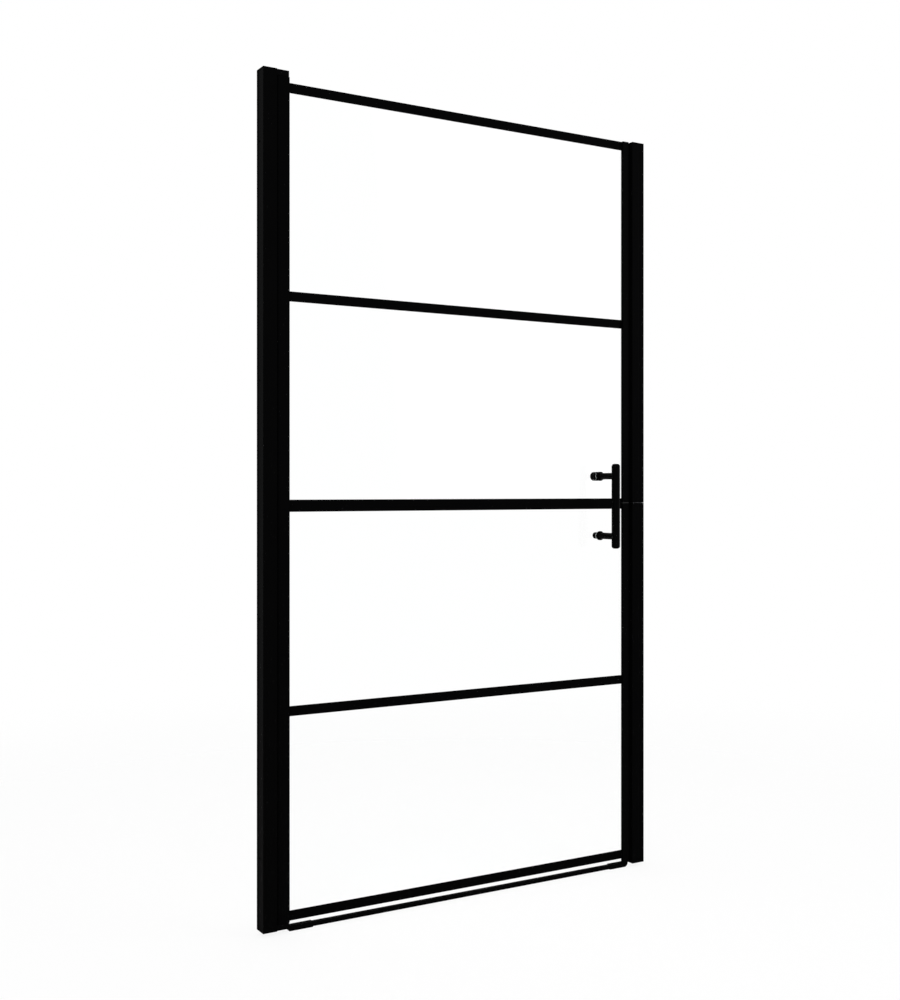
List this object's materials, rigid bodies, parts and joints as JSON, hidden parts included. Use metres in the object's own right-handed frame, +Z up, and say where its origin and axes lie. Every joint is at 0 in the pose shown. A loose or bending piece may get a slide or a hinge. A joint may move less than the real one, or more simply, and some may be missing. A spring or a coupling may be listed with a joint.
{
  "type": "glass door",
  "caption": "Framed glass shower door in black, with flat bars across the clear pane, wall channels and a tubular pull handle; the leaf turns on pivot pins.",
  "frame": {"origin": "on the wall face of the hinge channel, in the plane of the glass, at the foot of the hinge post", "axes": "+X along the door from the hinge wall to the strike wall, +Y from the outer side to the inner side, +Z up"},
  "size_m": [1, 0.1, 1.7886],
  "materials": {
    "coat_black": "black powder coat on aluminium",
    "plastic_black": "fine matt moulded plastic",
    "rubber_black": "soft black rubber",
    "magnet_black": "black magnet strip",
    "steel_bright": "zinc-plated steel",
    "alloy_bare": "bare mill-finish aluminium",
    "nylon_white": "white nylon",
    "nylon_black": "black nylon",
    "soft_clear": "translucent soft plastic",
    "glass_clear": "clear tempered glass"
  },
  "bodies": {
    "frame": {"hinge_wall_channel": "coat_black", "hinge_post": "coat_black", "hinge_cap_top": "plastic_black", "hinge_cap_bottom": "plastic_black", "hinge_seal": "rubber_black", "hinge_lock_screws": "steel_bright", "hinge_lock_caps": "plastic_black", "upper_pivot_block": "plastic_black", "lower_pivot_block": "plastic_black", "upper_pivot_pin": "steel_bright", "lower_pivot_pin": "steel_bright", "pivot_block_screws": "steel_bright", "strike_channel_upper": "coat_black", "strike_channel_lower": "coat_black", "strike_post": "alloy_bare", "strike_cover_upper": "coat_black", "strike_cover_lower": "coat_black", "strike_cap_top": "plastic_black", "strike_cap_bottom": "plastic_black", "strike_magnet_strip": "magnet_black", "strike_stop_seal": "rubber_black", "strike_lock_screws": "steel_bright", "strike_lock_caps": "plastic_black"},
    "leaf": {"hinge_stile": "coat_black", "upper_pivot_bush": "nylon_black", "lower_pivot_bush": "nylon_black", "hinge_gasket": "rubber_black", "glass_pane": "glass_clear", "closing_stile": "coat_black", "closing_gasket": "rubber_black", "closing_cap_top": "plastic_black", "closing_cap_bottom": "plastic_black", "leaf_magnet_strip": "magnet_black", "top_bar": "coat_black", "upper_bar": "coat_black", "middle_bar": "coat_black", "lower_bar": "coat_black", "bottom_bar": "coat_black", "drip_rail": "coat_black", "drip_seal": "rubber_black", "drip_cap_hinge": "plastic_black", "drip_cap_closing": "plastic_black", "handle_bar": "coat_black", "handle_post_upper": "coat_black", "handle_post_lower": "coat_black", "handle_collar_upper": "coat_black", "handle_collar_lower": "coat_black", "handle_front_washers": "soft_clear", "handle_rear_washers": "soft_clear", "glass_sleeves": "nylon_white", "handle_studs": "steel_bright", "handle_knob": "coat_black", "handle_cap_nut": "coat_black"}
  },
  "joints": [
    {"name": "leaf_swing", "type": "hinge", "parent": "frame", "child": "leaf", "pos_m": [0.0403, -0.006, 0], "axis": [0, 0, -1], "range_deg": [0, 90]}
  ]
}
